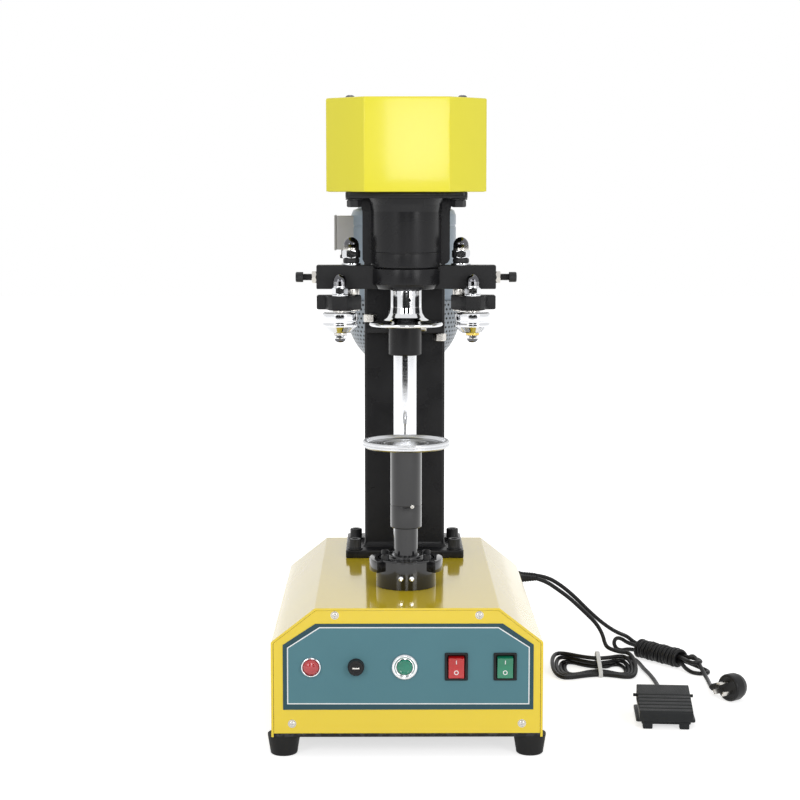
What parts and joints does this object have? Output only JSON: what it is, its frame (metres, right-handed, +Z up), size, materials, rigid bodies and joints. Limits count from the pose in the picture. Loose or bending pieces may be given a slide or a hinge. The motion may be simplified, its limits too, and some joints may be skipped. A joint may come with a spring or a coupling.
{
  "type": "can seamer",
  "caption": "Bench-top electric can seamer: yellow base with controls, column, rotating roller head, fixed chuck, lifting can platform and foot pedal.",
  "frame": {"origin": "floor plane under the can and spindle axis", "axes": "+Z up along the spindle axis, front and control panel towards -Y, +X to the operator's right"},
  "size_m": [0.5752, 0.5465, 0.7301],
  "materials": {
    "yellow_paint": "glossy",
    "black_paint": "semi-gloss",
    "label": "satin",
    "screw_steel": "satin",
    "chrome": "polished",
    "red_lens": "glossy",
    "black_plastic": "matte",
    "green_button": "glossy",
    "red_rocker": "glossy",
    "green_rocker": "glossy",
    "rubber": "matte",
    "black_steel": "black oxide",
    "zinc": "zinc plated",
    "bearing_steel": "ground",
    "motor_grey": "semi-gloss",
    "fan_grey": "satin",
    "box_grey": "satin",
    "belt": "matte",
    "pulley_iron": "machined",
    "bright_steel": "polished",
    "cord": "satin",
    "tie": "satin"
  },
  "bodies": {
    "frame": {"base_cover": "yellow_paint", "chassis": "black_paint", "front_panel": "yellow_paint", "label_plate": "label", "panel_screws": "screw_steel", "lamp_bezel": "chrome", "lamp_lens": "red_lens", "fuse_holder": "black_plastic", "jog_bezel": "chrome", "rocker_frames": "black_plastic", "rubber_feet": "rubber", "column": "black_paint", "column_bolts": "black_steel", "lift_hub": "black_steel", "hub_bolts": "black_steel", "lift_actuator": "zinc", "guide_post": "chrome", "guide_bracket": "black_paint", "bracket_bolts": "screw_steel", "head_casting": "black_paint", "spindle_bearings": "bearing_steel", "top_plate": "black_paint", "plate_bolts": "black_steel", "head_cover": "yellow_paint", "head_tray": "yellow_paint", "cover_screws": "black_steel", "motor_body": "motor_grey", "fan_cover": "fan_grey", "terminal_box": "box_grey", "drive_belt": "belt", "chuck": "chrome", "chuck_shaft": "bearing_steel", "mains_cord": "cord", "pedal_cord": "cord", "cord_reliefs": "cord", "mains_bundle": "cord", "pedal_hank": "cord", "hank_tie": "tie", "mains_plug": "black_plastic", "plug_blades": "screw_steel", "pedal_base": "black_plastic"},
    "head": {"spindle": "bearing_steel", "spindle_pulley": "pulley_iron", "crossbar": "black_paint", "pivot_bolts": "bright_steel", "adjusting_screws": "black_steel"},
    "arm_left": {"roller_arm_left": "black_paint", "roller_pin_left": "bright_steel"},
    "arm_right": {"roller_arm_right": "black_paint", "roller_pin_right": "bright_steel"},
    "wheel_left": {"roller_left": "chrome"},
    "wheel_right": {"roller_right": "chrome"},
    "rotor": {"motor_shaft": "bearing_steel"},
    "lift": {"lift_rod": "black_steel"},
    "seat": {"height_sleeve": "black_steel", "can_platform": "chrome"},
    "jog": {"jog_button": "green_button"},
    "rocker_one": {"rocker_red": "red_rocker"},
    "rocker_two": {"rocker_green": "green_rocker"},
    "treadle": {"pedal_treadle": "black_plastic"}
  },
  "joints": [
    {"name": "head_spin", "type": "hinge", "parent": "frame", "child": "head", "pos_m": [0, 0, 0.6], "axis": [0, 0, 1], "continuous": true},
    {"name": "motor_spin", "type": "hinge", "parent": "frame", "child": "rotor", "pos_m": [0, 0.338, 0.6], "axis": [0, 0, 1], "continuous": true},
    {"name": "left_arm_swing", "type": "hinge", "parent": "head", "child": "arm_left", "pos_m": [-0.0625, 0, 0.497], "axis": [0, 0, 1], "range_deg": [0, 38]},
    {"name": "right_arm_swing", "type": "hinge", "parent": "head", "child": "arm_right", "pos_m": [0.0625, 0, 0.497], "axis": [0, 0, -1], "range_deg": [0, 38]},
    {"name": "left_roller_spin", "type": "hinge", "parent": "arm_left", "child": "wheel_left", "pos_m": [-0.075, -0.024, 0.475], "axis": [0, 0, 1], "continuous": true},
    {"name": "right_roller_spin", "type": "hinge", "parent": "arm_right", "child": "wheel_right", "pos_m": [0.075, -0.024, 0.475], "axis": [0, 0, 1], "continuous": true},
    {"name": "lift_stroke", "type": "slide", "parent": "frame", "child": "lift", "axis": [0, 0, 1], "range_m": [0, 0.025]},
    {"name": "height_adjust", "type": "slide", "parent": "lift", "child": "seat", "axis": [0, 0, 1], "range_m": [-0.032, 0.03]},
    {"name": "jog_press", "type": "slide", "parent": "frame", "child": "jog", "axis": [0, 1, 0], "range_m": [0, 0.003], "stiffness_N_per_m": 600, "springref_m": -0.001},
    {"name": "red_rocker_tilt", "type": "hinge", "parent": "frame", "child": "rocker_one", "pos_m": [0.0542, -0.1192, 0.1026], "axis": [-1, 0, 0], "range_deg": [0, 16]},
    {"name": "green_rocker_tilt", "type": "hinge", "parent": "frame", "child": "rocker_two", "pos_m": [0.108, -0.1192, 0.1026], "axis": [-1, 0, 0], "range_deg": [0, 16]},
    {"name": "treadle_press", "type": "hinge", "parent": "frame", "child": "treadle", "pos_m": [0.30771, 0.04279, 0.024], "axis": [0.9968, -0.0802, 0], "range_deg": [0, 4], "stiffness_Nm_per_rad": 6, "springref_deg": -5.73}
  ],
  "couplings": [
    {"joint": "motor_spin", "follows": "head_spin", "ratio": 1.8365}
  ]
}
